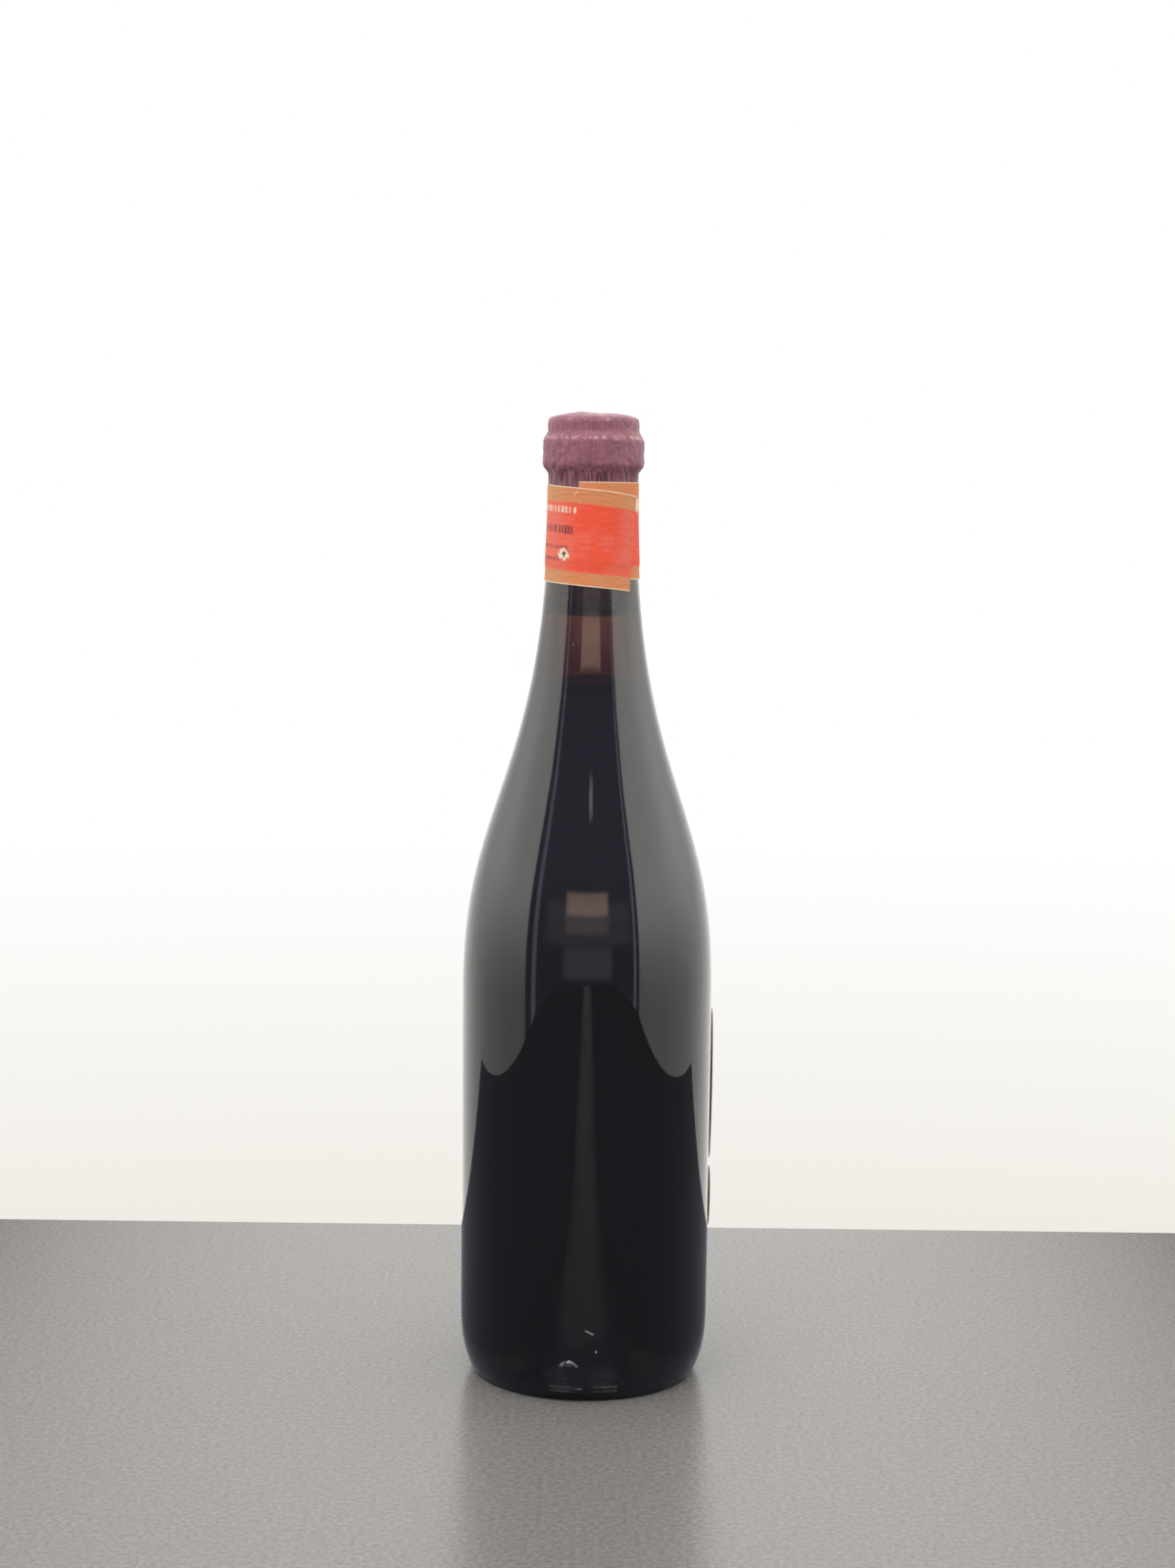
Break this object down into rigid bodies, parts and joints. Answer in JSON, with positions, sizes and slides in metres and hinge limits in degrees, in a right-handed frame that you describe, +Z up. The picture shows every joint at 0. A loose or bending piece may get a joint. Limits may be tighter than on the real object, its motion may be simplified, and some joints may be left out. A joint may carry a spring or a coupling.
{
  "type": "wine bottle",
  "caption": "Sealed dark glass wine bottle with long sloping shoulders, cork, foil capsule, wrapped paper neck band and paper labels; it stands on its foot.",
  "frame": {"origin": "centre of the foot's bearing ring, on the surface that the bottle stands on", "axes": "+Z up the bottle's axis; the front labels face +Y; the overlap of the neck band and the boss on the heel face -Y; +X is to the right of that back side"},
  "size_m": [0.0803, 0.0803, 0.3073],
  "materials": {
    "glass": "gloss",
    "wine": "gloss",
    "cork": "matt",
    "foil": "matt",
    "band_paper": "matt",
    "label_paper": "matt"
  },
  "bodies": {
    "root": {"bottle": "glass", "wine": "wine", "cork": "cork", "capsule": "foil", "neck_band": "band_paper", "front_label": "label_paper", "lower_label": "label_paper"}
  },
  "joints": []
}
